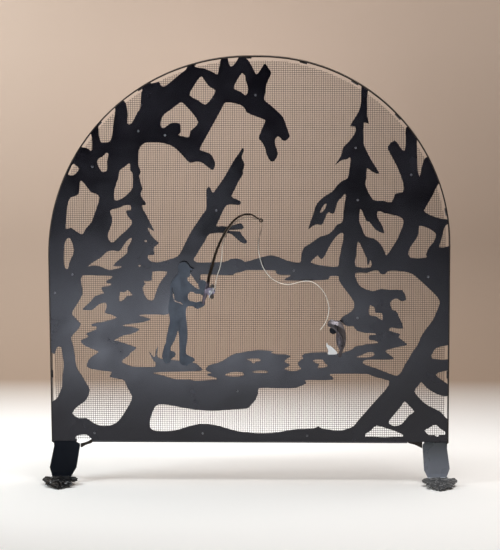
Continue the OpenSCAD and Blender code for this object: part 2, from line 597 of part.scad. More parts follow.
// Tail fin, leaned back so that its face looks up.
module fish_tail() {
  color("#d8d8d6")
    translate([178.5 * s, -17.5, leg_h + 211 * s])
      rotate([72, 0, 0])
        linear_extrude(height = 1.5) outline(tail_outline);
}

module fish_pins() {
  color("#8f8a88")
    translate([206.5 * s, -12.2, leg_h + 206 * s])
      rotate([-90, 0, 0])
        cylinder(h = 12.2, r = 2, $fn = 24);
}

// ---- feet

foot_bolt_x = [-444, -428, 428, 444];
module bolt_holes() {
  for (x = foot_bolt_x)
    translate([x * s, 14, leg_h - 10]) cylinder(h = 20, d = bolt_d + 0.4, $fn = 32);
}

// Front view of the left strap below the panel, widest low down, narrow ankle.
foot_front = [
  [-450, 6], [-450, -1], [-462, -59], [-455, -82], [-455, -90], [-414, -90],
  [-414, -82], [-400, -59], [-391.5, -8], [-392, -4], [-400, 0], [-402, 6]
];
// The right strap is a little narrower below the panel.
right_front = [
  [452, 6], [452, -1], [460, -58], [452, -80], [452, -90], [410, -90], [410, -80],
  [401, -62], [397.5, -10], [398, -3], [401, 0], [402, 6]
];
// Side view of both straps: a flange under the panel, a straight leg and a toe.
foot_side = [
  [22, 3], [1.6, 3], [0.5, 2.5], [0, 1], [-1, -10], [-8, -70], [-10.6, -77],
  [-14, -80.5], [-12.6, -83], [-9.2, -81], [-7.6, -78], [-5, -70.5],
  [2, -10], [2.6, -2.4], [3.4, -0.8], [5, 0], [22, 0]
];

module strap(front, side) {
  difference() {
    intersection() {
      upright(-60, 120) polygon([for (p = front) [p[0] * s, p[1]]]);
      translate([-half_w - 10, 0, leg_h])
        rotate([90, 0, 90])
          linear_extrude(height = panel_w + 20) polygon(side);
    }
    bolt_holes();
  }
}

module left_foot() {
  color("#2b2b2e") strap(foot_front, foot_side);
}

module right_foot() {
  color("#2b2b2e") strap(right_front, foot_side);
}

// Half of the toe leaf, from the stalk round three toothed lobes to the tip.
leaf_half = [
  [18, 3], [22, -4], [27, -2], [32, -7], [36, -6], [36, -11], [41, -13],
  [38, -17], [41, -22], [36, -24], [35, -29], [31, -28], [26, -33], [32, -36],
  [30, -41], [32, -46], [27, -47], [25, -52], [20, -49], [15, -52], [16, -57],
  [11, -58], [10, -63], [5, -63]
];
leaf_outline = concat(leaf_half, [[0, -68]],
  [for (i = [len(leaf_half) - 1 : -1 : 0]) [-leaf_half[i][0], leaf_half[i][1]]]);

module leaf() {
  pitch = asin((leg_h - 80.5) / 68);
  translate([0, -10.8, leg_h - 80.5])
    rotate([pitch, 0, 0])
      difference() {
        linear_extrude(height = 3)
          polygon(leaf_outline);
        translate([-60, 0, -8]) rotate([-pitch, 0, 0]) cube([120, 20, 20]);
      }
}

module left_leaf() {
  color("#303033") translate([-436 * s, 0, 0]) leaf();
}

module right_leaf() {
  color("#303033") translate([436 * s, 0, 0]) mirror([1, 0, 0]) leaf();
}

// Rear leg: a flange under the front one, then back and down to a flat pad.
module rear_leg() {
  r = rear_reach;
  difference() {
    translate([-455 * s, 0, 0])
      rotate([90, 0, 90])
        linear_extrude(height = 34 * s)
          polygon([[6, leg_h], [6, leg_h - 3], [19, leg_h - 3], [22, leg_h - 5],
            [25, leg_h - 14], [r * 0.5, 36], [r * 0.62, 10], [r * 0.66, 3],
            [r * 0.72, 0], [r, 0], [r, 3], [r * 0.76, 3], [r * 0.7, 5],
            [r * 0.66, 11], [r * 0.54, 37], [28, leg_h - 13], [24.5, leg_h - 2],
            [21, leg_h]]);
    bolt_holes();
  }
}

module left_rear_leg() {
  color("#2b2b2e") rear_leg();
}

module right_rear_leg() {
  color("#2b2b2e") mirror([1, 0, 0]) rear_leg();
}

// Corner braces behind the panel, beside each foot: a curved lower edge that falls
// towards the foot. The left one shows below the panel's corner hole.
left_brace_outline = [
  [363.2, 3.4], [363.2, -1.5], [366, -4.2], [372, -6], [378, -8], [383, -10.8],
  [387, -13.4], [391, -14], [391, -5], [384, -3.4], [378, -1.5], [372, 1], [366, 5],
  [362, 13], [354, 13], [354, 3.4]
];
right_brace_outline = [
  [363.2, 3.4], [363.2, 0.5], [365, -0.7], [370, -2.7], [375, -3.7], [380, -5.1],
  [385, -7.3], [391, -10.5], [397.2, -13.5], [397.2, 9], [391, 13], [354, 13],
  [354, 3.4]
];
module brace(side) {
  upright(mesh_back + 0.6, 3) polygon(side * s);
}

module left_brace() {
  color("#2b2723") mirror([1, 0, 0]) brace(left_brace_outline);
}

module right_brace() {
  color("#2b2723") brace(right_brace_outline);
}

module foot_bolts() {
  color("#59595c")
    for (x = foot_bolt_x)
      translate([x * s, 14, leg_h]) {
        translate([0, 0, -11]) cylinder(h = 14, d = bolt_d, $fn = 32);
        translate([0, 0, 3]) cylinder(h = 4, r = bolt_d * 0.83, $fn = 6);
      }
}

module foot_washers() {
  color("#77777a")
    for (x = foot_bolt_x)
      translate([x * s, 14, leg_h - 4.2])
        difference() {
          cylinder(h = 1.2, d = bolt_d * 2, $fn = 40);
          translate([0, 0, -1]) cylinder(h = 4, d = bolt_d + 0.4, $fn = 32);
        }
}

module foot_nuts() {
  color("#77777a")
    for (x = foot_bolt_x)
      translate([x * s, 14, leg_h - 9.2])
        difference() {
          cylinder(h = 5, r = bolt_d * 0.96, $fn = 6);
          translate([0, 0, -1]) cylinder(h = 8, d = bolt_d + 0.02, $fn = 32);
        }
}

scene_panel();
arch_band();
bottom_bar();
spark_mesh();
mesh_rivets();
mesh_washers();
angler();
angler_pins();
rod();
rod_guides();
reel_frame();
reel_spool();
reel_handle();
reel_knobs();
fishing_line();
fish_body();
fish_fin();
fish_tail();
fish_pins();
left_foot();
right_foot();
left_leaf();
right_leaf();
left_rear_leg();
right_rear_leg();
left_brace();
right_brace();
foot_bolts();
foot_washers();
foot_nuts();
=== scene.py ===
# %% [markdown]
# # Arched hearth screen with an angling scene
# The screen is a flat-bar arch that frames one sheet of steel. The sheet is cut
# right through into trees, a lake and its banks. A fine woven spark mesh closes the
# gaps from behind, and an angler, a rod, a reel, a line and a fish stand a few
# millimetres proud of the sheet. The shapes and sizes come from the CAD frame. This
# file gives them their real surface, weaves the mesh, adds the welds, and sets up a
# small studio.

import math

import bpy
import numpy as np
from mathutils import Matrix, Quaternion, Vector, noise


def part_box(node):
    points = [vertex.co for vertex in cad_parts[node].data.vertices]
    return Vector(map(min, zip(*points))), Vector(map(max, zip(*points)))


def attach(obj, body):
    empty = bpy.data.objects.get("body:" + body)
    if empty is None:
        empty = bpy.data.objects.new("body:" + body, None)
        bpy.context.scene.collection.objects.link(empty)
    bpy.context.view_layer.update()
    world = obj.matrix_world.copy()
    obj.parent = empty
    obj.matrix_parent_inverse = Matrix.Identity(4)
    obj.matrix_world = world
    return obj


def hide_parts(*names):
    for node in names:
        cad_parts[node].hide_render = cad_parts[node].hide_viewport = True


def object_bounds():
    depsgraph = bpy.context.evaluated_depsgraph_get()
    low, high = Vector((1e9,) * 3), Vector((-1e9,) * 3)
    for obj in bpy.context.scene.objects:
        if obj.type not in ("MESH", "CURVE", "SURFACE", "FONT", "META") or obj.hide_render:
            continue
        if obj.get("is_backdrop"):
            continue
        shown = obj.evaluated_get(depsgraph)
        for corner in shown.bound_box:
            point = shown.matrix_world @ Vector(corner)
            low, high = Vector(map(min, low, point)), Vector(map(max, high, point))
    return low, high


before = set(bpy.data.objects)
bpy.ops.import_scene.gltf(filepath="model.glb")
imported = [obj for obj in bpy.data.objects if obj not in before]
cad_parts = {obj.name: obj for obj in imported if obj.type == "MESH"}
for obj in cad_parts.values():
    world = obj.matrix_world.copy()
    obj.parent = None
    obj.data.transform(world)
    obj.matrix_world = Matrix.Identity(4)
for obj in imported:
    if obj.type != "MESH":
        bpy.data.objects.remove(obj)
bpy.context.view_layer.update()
MM = 0.001

# %% [markdown]
# ## Measuring the arch
# Everything that is added later has to follow the arch, so its numbers are read
# from the frame once. The left half is a plain quarter circle over a straight side.
# The right shoulder is a little fuller: a smaller quarter circle, shifted up and to
# the right by the same amount.

# %% The arch in numbers
band_low, band_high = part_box("arch_band")
mesh_low, mesh_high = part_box("spark_mesh")
HALF_WIDTH = band_high.x
FOOT_GAP = band_low.z
TOP = band_high.z
SHOULDER = 28 * MM
SIDE_TOP = TOP - HALF_WIDTH
EDGE_GAP = HALF_WIDTH - mesh_high.x


def arch_top(x, inset):
    """Height of the arch over x, measured to a line that lies inset inside its rim."""
    r = HALF_WIDTH - inset
    if x < 0:
        return SIDE_TOP + math.sqrt(max(0.0, r * r - x * x))
    if x < SHOULDER:
        return SIDE_TOP + r
    short = r - SHOULDER
    return SIDE_TOP + SHOULDER + math.sqrt(max(0.0, short**2 - (x - SHOULDER) ** 2))


def arch_sides(z, inset):
    """Left and right ends of a level line at height z, inset inside the rim."""
    r = HALF_WIDTH - inset
    rise = z - SIDE_TOP
    left = -r if rise < 0 else -math.sqrt(max(0.0, r * r - rise * rise))
    lift = rise - SHOULDER
    if lift < 0:
        return left, r
    return left, SHOULDER + math.sqrt(max(0.0, (r - SHOULDER) ** 2 - lift * lift))


print("arch: half width", HALF_WIDTH, "top", TOP, "mesh edge gap", EDGE_GAP)

# %% [markdown]
# ## Surfaces
# The sheet, the bar and the feet carry a dark satin coat. Baked powder never lies
# quite flat: it has a fine orange-peel ripple about two millimetres across, and
# handling leaves faint cloudy patches where it is a little duller. All of that is
# made with noise in the object's own metres, so its scale is the real one. The left
# foot keeps the dark coat. The right one gets a paler grey copy of it, which is painted
# light for the floor that its strap mirrors. The bottom bar gets a paler copy too, a
# painted highlight along its front edge.
# A shader is a small graph, so one helper makes a node and links what feeds it.

# %% Helpers for shader graphs
def new_finish(name):
    """An empty node material with one Principled shader, ready to be fed."""
    made = bpy.data.materials.new(name)
    made.use_nodes = True
    tree = made.node_tree
    return made, tree, tree.nodes["Principled BSDF"]


def node(tree, kind, values=None, **links):
    """Adds a node, sets its plain values and links its named inputs."""
    n = tree.nodes.new(kind)
    for key, value in (values or {}).items():
        if isinstance(key, int) or key in n.inputs:
            n.inputs[key].default_value = value
        else:
            setattr(n, key, value)
    for key, source in links.items():
        tree.links.new(source, n.inputs[key.replace("_", " ")])
    return n


def grain(tree, scale, detail=3.0, rough=0.5, stretch=(1, 1, 1)):
    """Noise in the object's own metres, so that its grain has a true size."""
    place = node(tree, "ShaderNodeTexCoord")
    mapped = node(tree, "ShaderNodeMapping", {"Scale": stretch}, Vector=place.outputs["Object"])
    return node(
        tree,
        "ShaderNodeTexNoise",
        {"Scale": scale, "Detail": detail, "Roughness": rough},
        Vector=mapped.outputs["Vector"],
    )


def ramp(tree, source, low, high, at=(0.35, 0.65)):
    """Turns a 0 to 1 value into a blend between two colours or two grey levels."""
    r = node(tree, "ShaderNodeValToRGB", Fac=source)
    for stop, place, value in zip(r.color_ramp.elements, at, (low, high)):
        stop.position = place
        stop.color = (*value, 1) if isinstance(value, tuple) else (value, value, value, 1)
    return r.outputs["Color"]


def ripple(tree, shader, source, depth, strength=0.3):
    """Raises the surface by a noise, depth metres high, in the shader's normal."""
    bump = node(tree, "ShaderNodeBump", {"Distance": depth, "Strength": strength}, Height=source)
    tree.links.new(bump.outputs["Normal"], shader.inputs["Normal"])


print("shader helpers ready")

# %% The coat on sheet, bar and feet
STREAK_SHARE = 0.35
PEEL_SCALE = 520.0
PEEL_DEPTH = 0.12 * MM


def coated_steel(name, dark, light, satin, patch=7.0, sheen=(1, 1, 1), gloss=0.45):
    """Dark satin coat: cloudy patches in colour and gloss over an orange-peel ripple."""
    made, tree, shader = new_finish(name)
    clouds = grain(tree, patch, 5.0, 0.6)
    streaks = grain(tree, 30.0, 4.0, 0.6, (1, 1, 0.12))
    mixed = node(tree, "ShaderNodeMath", {"operation": "MULTIPLY_ADD", 1: STREAK_SHARE})
    tree.links.new(streaks.outputs["Fac"], mixed.inputs[0])
    tree.links.new(clouds.outputs["Fac"], mixed.inputs[2])
    tree.links.new(ramp(tree, mixed.outputs[0], dark, light, (0.5, 0.85)), shader.inputs["Base Color"])
    low, high = satin
    tree.links.new(ramp(tree, clouds.outputs["Fac"], low, high), shader.inputs["Roughness"])
    shader.inputs["Metallic"].default_value = 0.0
    shader.inputs["IOR"].default_value = 1.5
    shader.inputs["Specular IOR Level"].default_value = gloss
    shader.inputs["Specular Tint"].default_value = (*sheen, 1)
    ripple(tree, shader, grain(tree, PEEL_SCALE, 2.0).outputs["Fac"], PEEL_DEPTH, 0.35)
    return made


PANEL_COAT = coated_steel(
    "panel coat",
    dark=(0.0035, 0.0028, 0.0045),
    light=(0.009, 0.0075, 0.012),
    satin=(0.15, 0.3),
    sheen=(0.92, 0.93, 1.0),
)
BAR_COAT = coated_steel("bar coat", (0.010, 0.007, 0.006), (0.03, 0.021, 0.015), (0.28, 0.45), gloss=0.25)
# Painted highlight: the bottom bar's paler coat stands in for the light that catches its front edge.
BAR_EDGE_PAINTED_HIGHLIGHT = coated_steel("bottom bar painted highlight", (0.03, 0.032, 0.036), (0.08, 0.082, 0.09), (0.28, 0.42))
FOOT_COAT = coated_steel(
    "foot coat",
    dark=(0.004, 0.005, 0.009),
    light=(0.008, 0.010, 0.015),
    satin=(0.3, 0.42),
    sheen=(0.85, 0.9, 1.0),
    gloss=0.12,
)
# Painted light: the right foot's paler grey copy of the coat stands in for the bright floor mirrored in its
# strap.
FOOT_PAINTED_LIGHT = coated_steel(
    "foot coat painted light",
    dark=(0.04, 0.044, 0.048),
    light=(0.06, 0.065, 0.07),
    satin=(0.2, 0.32),
    sheen=(0.9, 0.95, 1.0),
)
print("coats:", PANEL_COAT.name, BAR_COAT.name, FOOT_COAT.name, FOOT_PAINTED_LIGHT.name)

# %% [markdown]
# The raised pieces were left bare and burnished before they were lacquered, so they
# read as a cool dark grey against the black sheet. Rolled steel has a faint grain
# that runs one way, made here by stretching a noise along the sheet. The mesh wire is
# oxidised brown-black, the rod is dark brown and the line is a pale wire. The tail fin
# is near white, a painted highlight for the light that it catches where it leans back.

# %% Bare and burnished metals
def bare_metal(name, dark, light, rough, grain_scale=60.0, stretch=(1, 1, 0.08), depth=0.00005):
    """Uncoated metal: stains in its colour, and a rolled grain in its gloss and its surface."""
    made, tree, shader = new_finish(name)
    rolled = grain(tree, grain_scale * 6, 4.0, 0.6, stretch)
    stain = grain(tree, 18.0, 5.0, 0.65)
    tree.links.new(ramp(tree, stain.outputs["Fac"], dark, light), shader.inputs["Base Color"])
    low, high = rough
    tree.links.new(ramp(tree, rolled.outputs["Fac"], low, high), shader.inputs["Roughness"])
    shader.inputs["Metallic"].default_value = 1.0
    ripple(tree, shader, rolled.outputs["Fac"], depth, 0.3)
    return made


SKINNED = 0.35
PAINTED = 0.15
BURNISHED = bare_metal("burnished steel", (0.030, 0.034, 0.041), (0.052, 0.058, 0.068), (0.28, 0.42))
ROD_METAL = bare_metal("rod steel", (0.018, 0.013, 0.010), (0.05, 0.037, 0.028), (0.3, 0.5))
MESH_WIRE = bare_metal("mesh wire", (0.022, 0.018, 0.019), (0.06, 0.05, 0.055), (0.4, 0.6), 40.0)
LINE_WIRE = bare_metal("line wire", (0.84, 0.77, 0.68), (0.94, 0.89, 0.82), (0.3, 0.45))
LINE_WIRE.node_tree.nodes["Principled BSDF"].inputs["Metallic"].default_value = SKINNED
FISH_METAL = bare_metal("fish steel", (0.05, 0.044, 0.048), (0.12, 0.105, 0.11), (0.25, 0.42))
# Painted highlight: the tail fin's near-white colour stands in for the light that it catches as it leans
# back.
FIN_PAINTED_HIGHLIGHT = bare_metal("fin painted highlight", (0.9, 0.9, 0.9), (0.97, 0.97, 0.97), (0.35, 0.5))
FIN_PAINTED_HIGHLIGHT.node_tree.nodes["Principled BSDF"].inputs["Metallic"].default_value = PAINTED
RIVET_METAL = bare_metal("rivet steel", (0.1, 0.1, 0.11), (0.28, 0.28, 0.3), (0.22, 0.36))
ZINC = bare_metal("dull zinc", (0.22, 0.22, 0.22), (0.36, 0.36, 0.36), (0.35, 0.55))
DARK_KNOB = coated_steel("knob lacquer", (0.02, 0.014, 0.01), (0.05, 0.036, 0.026), (0.3, 0.5), 60.0)
METALS = (BURNISHED, ROD_METAL, MESH_WIRE, LINE_WIRE, FISH_METAL, FIN_PAINTED_HIGHLIGHT, RIVET_METAL, ZINC)
print("metals:", [m.name for m in METALS])

# %% [markdown]
# ## Dressing the CAD pieces
# The plates, bars, straps and fasteners already have their true shape, so they stay
# as they are and only get a finish. A dictionary from finish to pieces keeps the
# choice of finish in one place.

# %% Give each CAD piece its finish
FINISH_OF = {
    PANEL_COAT: ["scene_panel"],
    BAR_COAT: ["arch_band", "left_brace", "right_brace"],
    BAR_EDGE_PAINTED_HIGHLIGHT: ["bottom_bar"],
    RIVET_METAL: ["mesh_rivets"],
    FOOT_COAT: ["left_foot", "left_rear_leg", "right_rear_leg", "fish_fin"],
    FOOT_PAINTED_LIGHT: ["right_foot"],
    BURNISHED: ["angler", "angler_pins"],
    ROD_METAL: ["rod", "rod_guides", "fish_pins", "reel_frame", "reel_spool"],
    LINE_WIRE: ["fishing_line"],
    FIN_PAINTED_HIGHLIGHT: ["fish_tail"],
    ZINC: ["reel_handle", "mesh_washers", "foot_bolts", "foot_washers", "foot_nuts"],
    DARK_KNOB: ["reel_knobs"],
}
for finish, names in FINISH_OF.items():
    for name in names:
        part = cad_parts[name]
        part.data.materials.clear()
        part.data.materials.append(finish)
        part.data.polygons.foreach_set("material_index", [0] * len(part.data.polygons))
print("pieces dressed:", sum(len(n) for n in FINISH_OF.values()))

# %% [markdown]
# ## A second tone: wrapped, browned, or painted light
# The fish is beaten from one piece, and its outer back, which faces up, carries a
# painted highlight up to a crisp line where the sheet folds. The rod's grip is wrapped
# in a paler band, and the line has browned along the rod. The right foot grows paler
# toward its ankle, a painted reflection of the floor, and the leaves carry painted
# glints in specks. Each is a second colour laid over part of the first, so one helper
# blends them all in.

# %% Helpers for a second tone
MIX_COVER, MIX_UNDER, MIX_OVER, MIX_RESULT = 0, 6, 7, 2


def second_tone(made, cover, colour):
    """Blends another colour in where cover, a 0 to 1 value, is high."""
    tree = made.node_tree
    shader = tree.nodes["Principled BSDF"]
    under = shader.inputs["Base Color"].links[0].from_socket
    mix = node(tree, "ShaderNodeMix", {"data_type": "RGBA"})
    tree.links.new(cover, mix.inputs[MIX_COVER])
    tree.links.new(under, mix.inputs[MIX_UNDER])
    mix.inputs[MIX_OVER].default_value = (*colour, 1)
    tree.links.new(mix.outputs[MIX_RESULT], shader.inputs["Base Color"])


def object_z(tree, low, high):
    """0 below low, 1 above high, in metres up the object."""
    place = node(tree, "ShaderNodeTexCoord")
    split = node(tree, "ShaderNodeSeparateXYZ", Vector=place.outputs["Object"])
    rise = node(tree, "ShaderNodeMapRange", {"From Min": low, "From Max": high}, Value=split.outputs["Z"])
    return rise.outputs["Result"]


def below(tree, low, high):
    """1 below low, 0 above high, in metres up the object."""
    turned = node(tree, "ShaderNodeMath", {"operation": "SUBTRACT", 0: 1.0})
    tree.links.new(object_z(tree, low, high), turned.inputs[1])
    return turned.outputs[0]


# %% Painted highlight on the back of the fish
FOLD = Vector((184 * MM, 0, FOOT_GAP + 238 * MM))
FOLD_R = 31 * MM
FOLD_BLUR = 3 * MM
# Painted highlight: the paler tone over the fish's outer back, above its fold, stands in for light on the
# side that faces up.
FISH_HIGHLIGHT_FROM, FISH_HIGHLIGHT_FULL = FOOT_GAP + 228 * MM, FOOT_GAP + 258 * MM
FISH_PAINTED_HIGHLIGHT = (0.25, 0.22, 0.225)
tree = FISH_METAL.node_tree
place = node(tree, "ShaderNodeTexCoord")
off = node(tree, "ShaderNodeVectorMath", {"operation": "SUBTRACT", 1: FOLD}, Vector=place.outputs["Object"])
flat = node(tree, "ShaderNodeVectorMath", {"operation": "MULTIPLY", 1: (1, 0, 1)}, Vector=off.outputs[0])
span = node(tree, "ShaderNodeVectorMath", {"operation": "LENGTH"}, Vector=flat.outputs[0])
outer = node(
    tree,
    "ShaderNodeMapRange",
    {"From Min": FOLD_R, "From Max": FOLD_R + FOLD_BLUR},
    Value=span.outputs["Value"],
)
upper = object_z(tree, FISH_HIGHLIGHT_FROM, FISH_HIGHLIGHT_FULL)
both = node(tree, "ShaderNodeMath", {"operation": "MULTIPLY"})
tree.links.new(outer.outputs["Result"], both.inputs[0])
tree.links.new(upper, both.inputs[1])
second_tone(FISH_METAL, both.outputs[0], FISH_PAINTED_HIGHLIGHT)
print("fold of the fish round", tuple(FOLD), "radius", FOLD_R)

# %% Grip, browned line, painted reflection on the right foot, painted glints and light on the leaves
GRIP_TOP = FOOT_GAP + 372 * MM
GRIP_BLUR = 6 * MM
GRIP_TONE = (0.15, 0.13, 0.16)
BROWN_FROM, BROWN_FULL = FOOT_GAP + 440 * MM, FOOT_GAP + 485 * MM
BROWN_TONE = (0.15, 0.115, 0.09)
ANKLE_Z = 10 * MM
FOOT_PAINTED_REFLECTION = (0.30, 0.32, 0.38)
# Painted glints: bright specks on the leaves stand in for light caught on the hammered iron.
LEAF_GLINT_SCALE = 170.0
LEAF_PAINTED_GLINT = (0.34, 0.34, 0.35)
second_tone(ROD_METAL, below(ROD_METAL.node_tree, GRIP_TOP, GRIP_TOP + GRIP_BLUR), GRIP_TONE)
second_tone(LINE_WIRE, object_z(LINE_WIRE.node_tree, BROWN_FROM, BROWN_FULL), BROWN_TONE)
# Painted reflection: the right foot grows paler toward its ankle, where its strap mirrors the floor.
second_tone(FOOT_PAINTED_LIGHT, below(FOOT_PAINTED_LIGHT.node_tree, ANKLE_Z, FOOT_GAP), FOOT_PAINTED_REFLECTION)

# Painted light: the right leaf's coat is a paler copy of the left leaf's dark coat.
LEAF_COATS = [
    coated_steel("left leaf coat", (0.004, 0.004, 0.005), (0.010, 0.010, 0.011), (0.2, 0.35), gloss=0.25),
    coated_steel("right leaf coat painted light", (0.03, 0.031, 0.033), (0.055, 0.057, 0.06), (0.25, 0.4)),
]
for coat in LEAF_COATS:
    tree = coat.node_tree
    painted_glints = grain(tree, LEAF_GLINT_SCALE, 2.0, 0.5).outputs["Fac"]
    second_tone(coat, ramp(tree, painted_glints, 0.0, 1.0, (0.62, 0.7)), LEAF_PAINTED_GLINT)
print("grip up to", round(GRIP_TOP, 3), " leaves:", [coat.name for coat in LEAF_COATS])

# %% [markdown]
# ## Sculpting the leaves and the fish
# The toe leaves were forged: veins stand up along each lobe, the lobes curl, and the
# hammer left the iron lumpy. The CAD leaf has the right outline but a flat face. A
# copy is remeshed into even small squares, and then its points are pushed: first the
# curl, which moves both faces together, then veins on the upper face, then lumps. The
# fish gets the same treatment, with one long fold along its side.

# %% Even remesh and push
def sculpt(source, voxel, push, finish):
    """Remeshes a copy of a CAD piece evenly, moves its points and replaces the piece."""
    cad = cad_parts[source]
    piece = bpy.data.objects.new(f"{source}_sculpted", cad.data.copy())
    bpy.context.scene.collection.objects.link(piece)
    even = piece.modifiers.new("even", "REMESH")
    even.mode, even.voxel_size = "VOXEL", voxel
    ready = piece.evaluated_get(bpy.context.evaluated_depsgraph_get())
    made = bpy.data.meshes.new_from_object(ready)
    piece.modifiers.clear()
    piece.data = made
    made.name = piece.name
    moved = [v.co + push(v.co.copy(), v.normal.copy()) for v in made.vertices]
    made.vertices.foreach_set("co", [c for p in moved for c in p])
    made.polygons.foreach_set("use_smooth", [True] * len(made.polygons))
    made.materials.clear()
    made.materials.append(finish)
    made.update()
    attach(piece, "root")
    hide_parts(source)
    return piece


def from_segment(p, a, b):
    """Distance of p from the line between a and b, on the flat."""
    run = b - a
    t = max(0.0, min(1.0, (p - a).dot(run) / run.length_squared))
    return (p - a - run * t).length


# %% Toe leaves
VEIN_TIPS = [(38, -12), (39, -20), (30, -40), (24, -49), (12, -58)]
MIDRIB_LENGTH = 66 * MM
CURL_REACH, CURL_HEIGHT, CURL_SCALE = 34 * MM, 2.6 * MM, 75
VEIN_HEIGHT, VEIN_WIDTH, VEIN_SINK = 1.5 * MM, 1.7 * MM, 0.5 * MM
HAMMER_DEPTH, HAMMER_SCALE = 0.9 * MM, 230
FLOOR_CLEAR = 0.3 * MM


def leaf_push(centre, ankle_y, seed):
    """Curl, veins and hammer marks for one leaf round its own middle line."""
    midrib = (Vector((0, 0)), Vector((0, -MIDRIB_LENGTH)))
    veins = [midrib]
    for x, y in VEIN_TIPS:
        for side in (-1, 1):
            veins.append((Vector((0, y * 0.5 * MM)), Vector((side * x * MM, y * MM))))

    def push(co, normal):
        p = Vector((co.x - centre, co.y - ankle_y))
        away = min(1.0, p.length / CURL_REACH)
        wave_at = Vector((p.x * CURL_SCALE, p.y * CURL_SCALE, seed))
        curl = CURL_HEIGHT * away * (0.35 + noise.noise(wave_at))
        up = Vector((0, 0, curl))
        if normal.z > 0.15:
            d = min(from_segment(p, a, b) for a, b in veins)
            up.z += VEIN_HEIGHT * math.exp(-((d / VEIN_WIDTH) ** 2)) - VEIN_SINK
        mark_at = Vector((p.x * HAMMER_SCALE, p.y * HAMMER_SCALE, co.z * HAMMER_SCALE + seed))
        pushed = up + normal * HAMMER_DEPTH * noise.noise(mark_at)
        pushed.z = max(pushed.z, FLOOR_CLEAR - co.z)
        return pushed

    return push


for turn, name in enumerate(("left_leaf", "right_leaf")):
    low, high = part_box(name)
    push = leaf_push((low.x + high.x) / 2, high.y, 4.0 + turn * 7)
    leaf = sculpt(name, 1.0 * MM, push, LEAF_COATS[turn])
    print(leaf.name, "faces:", len(leaf.data.polygons))


# %% The fish
FOLD_HEIGHT, FOLD_SPREAD = 2.4 * MM, 12 * MM
FOLD_FOOT, FOLD_RUN = FOOT_GAP + 206 * MM, 22 * MM
DENT_DEPTH, DENT_SCALE = 0.25 * MM, 160


def fish_push(co, normal):
    """A fold along the side of the fish: the crest stands out, both flanks fall back."""
    spot = Vector((co.x - FOLD.x, co.z - FOLD.z))
    crest = max(0.0, 1 - abs(spot.length - FOLD_R) / FOLD_SPREAD)
    low_part = min(1.0, max(0.0, (co.z - FOLD_FOOT) / FOLD_RUN))
    out = -FOLD_HEIGHT * crest * low_part if normal.y < 0.3 else 0.0
    dent = DENT_DEPTH * noise.noise(co * DENT_SCALE)
    return Vector((0, out, 0)) + normal * dent


fish = sculpt("fish_body", 0.7 * MM, fish_push, FISH_METAL)
print(fish.name, "faces:", len(fish.data.polygons))

# %% [markdown]
# ## Weaving the spark mesh
# Real spark mesh is a plain weave: every wire passes over one crossing wire and under
# the next. The CAD node keeps the wires straight, because a collision shape has no
# use for the weave. Here each wire is a thin four-sided tube that follows a wave. Its
# crest sits on every crossing, and the wave of a neighbouring wire is turned round,
# so that overs and unders alternate both ways. The wires were cut with snips, so
# their ends stop a few millimetres short of the band and no two are alike.

# %% Mesh pitch and ends
WIRE_R = 0.45 * MM
CENTRE_Y = (mesh_low.y + mesh_high.y) / 2
SWING = (mesh_high.y - mesh_low.y) / 2 - WIRE_R
PITCH_X, PITCH_Z = 5.0 * MM, 4.75 * MM
CROSS_Z = FOOT_GAP
MESH_FOOT = mesh_low.z


def snip(i, seed):
    """How far one wire end falls short of the mesh's nominal edge, 0 to 3 mm."""
    return 3.0 * MM * (0.5 + 0.5 * noise.noise(Vector((i * 0.83, seed, 0.5))))


def wave(k):
    """Out and in again from one crossing to the next, in quarter steps."""
    return math.cos(math.pi * k / 2)


print("wire radius", WIRE_R, "swing", round(SWING, 6))


# %% One woven family of wires as a mesh
def wires_to_mesh(name, routes):
    """Sweeps a square ring along each route and joins the tubes in one mesh."""
    corners, faces, start = [], [], 0
    for route, across in routes:
        n = len(route)
        lift = np.array((0.0, 1.0, 0.0))
        ring = [across * c * WIRE_R + lift * s * WIRE_R for c, s in ((1, 0), (0, 1), (-1, 0), (0, -1))]
        corners.append((route[:, None, :] + np.array(ring)[None, :, :]).reshape(-1, 3))
        grid = start + np.arange(n * 4).reshape(n, 4)
        side = np.roll(grid, -1, axis=1)
        faces.append(
            np.stack([grid[:-1], side[:-1], side[1:], grid[1:]], axis=-1).reshape(-1, 4)
        )
        faces.append(np.stack([grid[0][::-1], grid[-1]]))
        start += n * 4
    corners, faces = np.concatenate(corners), np.concatenate(faces)
    made = bpy.data.meshes.new(name)
    made.vertices.add(len(corners))
    made.vertices.foreach_set("co", corners.ravel())
    made.loops.add(faces.size)
    made.loops.foreach_set("vertex_index", faces.ravel())
    made.polygons.add(len(faces))
    made.polygons.foreach_set("loop_start", np.arange(0, faces.size, 4))
    made.update(calc_edges=True)
    made.polygons.foreach_set("use_smooth", [True] * len(faces))
    made.materials.append(MESH_WIRE)
    piece = bpy.data.objects.new(name, made)
    bpy.context.scene.collection.objects.link(piece)
    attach(piece, "root")
    return piece


def upright_wire(i):
    """An upright wire: x stays put, and it swings at each level crossing."""
    x = i * PITCH_X
    top = arch_top(x, EDGE_GAP) - snip(i, 3.1)
    first = math.ceil((MESH_FOOT - CROSS_Z) / PITCH_Z)
    last = int((top - CROSS_Z) / PITCH_Z)
    steps = np.arange(first * 2, last * 2 + 1)
    z = CROSS_Z + steps * PITCH_Z / 2
    way = -1 if i % 2 else 1
    y = CENTRE_Y + way * SWING * np.array([wave(k) for k in steps])
    route = np.stack([np.full(len(z), x), y, z], axis=1)
    route = np.vstack([[x, CENTRE_Y, MESH_FOOT], route, [x, CENTRE_Y, top]])
    return route, np.array((1.0, 0.0, 0.0))


